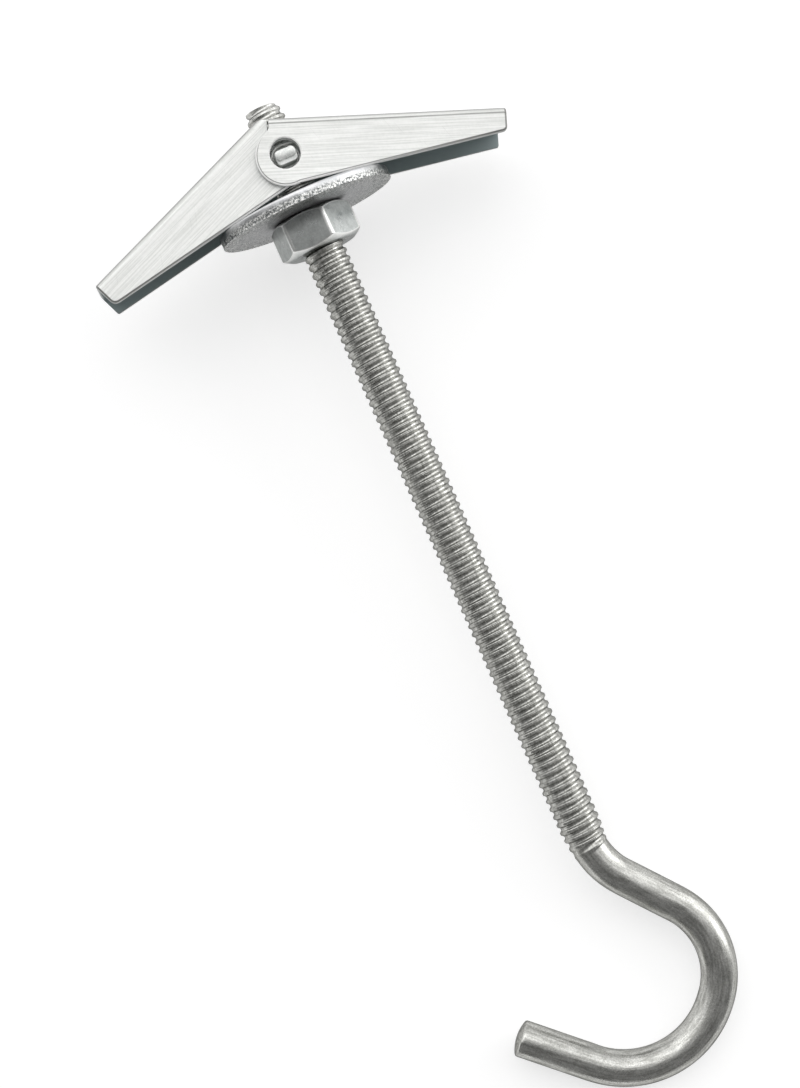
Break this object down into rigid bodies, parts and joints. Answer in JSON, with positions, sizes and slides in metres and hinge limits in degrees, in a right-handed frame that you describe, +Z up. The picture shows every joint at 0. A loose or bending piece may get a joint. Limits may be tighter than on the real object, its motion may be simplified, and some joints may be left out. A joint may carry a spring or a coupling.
{
  "type": "spring toggle bolt",
  "caption": "Toggle bolt with a hook end: threaded rod, nut, washer and a pair of folded sheet wings thrown open by a spring.",
  "frame": {"origin": "under the middle of the bolt as it lies, on the surface that it lies on", "axes": "+X towards the hook, +Y towards the wider (outer) wing, +Z up; the rod slopes down towards the hook by about 4.5 degrees, from the washer's rim to the hook's bowl"},
  "size_m": [0.153, 0.0651, 0.0266],
  "materials": {
    "plated_rod": "satin zinc plate on rolled thread and bent wire",
    "plated_nut": "satin zinc plate, slightly mottled",
    "plated_washer": "satin zinc plate with a bright sheared rim",
    "plated_sheet": "bright zinc plate with fine lengthwise rolling marks",
    "spring_wire": "drawn spring wire"
  },
  "bodies": {
    "rod": {"hook_bolt": "plated_rod"},
    "locknut": {"hex_nut": "plated_nut", "flat_washer": "plated_washer"},
    "toggle": {"trunnion_nut": "plated_nut", "torsion_spring": "spring_wire"},
    "outer_wing": {"wing_outer": "plated_sheet"},
    "inner_wing": {"wing_inner": "plated_sheet"}
  },
  "joints": [
    {"name": "nut_travel", "type": "slide", "parent": "rod", "child": "locknut", "axis": [0.9969, 0, -0.0789], "range_m": [0, 0.09]},
    {"name": "toggle_travel", "type": "slide", "parent": "rod", "child": "toggle", "axis": [-0.9969, 0, 0.0789], "range_m": [0, 0.006]},
    {"name": "outer_fold", "type": "hinge", "parent": "toggle", "child": "outer_wing", "pos_m": [-0.06804, 0.0002, 0.01391], "axis": [-0.0786, -0.0854, -0.9932], "range_deg": [0, 69.01], "stiffness_Nm_per_rad": 0.01, "springref_deg": -28.65, "deforming": ["torsion_spring"]},
    {"name": "inner_fold", "type": "hinge", "parent": "toggle", "child": "inner_wing", "pos_m": [-0.06804, 0.0002, 0.01391], "axis": [0.0786, 0.0854, 0.9932], "range_deg": [0, 67.51], "stiffness_Nm_per_rad": 0.01, "springref_deg": -28.65}
  ],
  "couplings": [
    {"joint": "outer_fold", "follows": "nut_travel", "rad_per_m": 13.381},
    {"joint": "inner_fold", "follows": "nut_travel", "rad_per_m": 13.09}
  ]
}
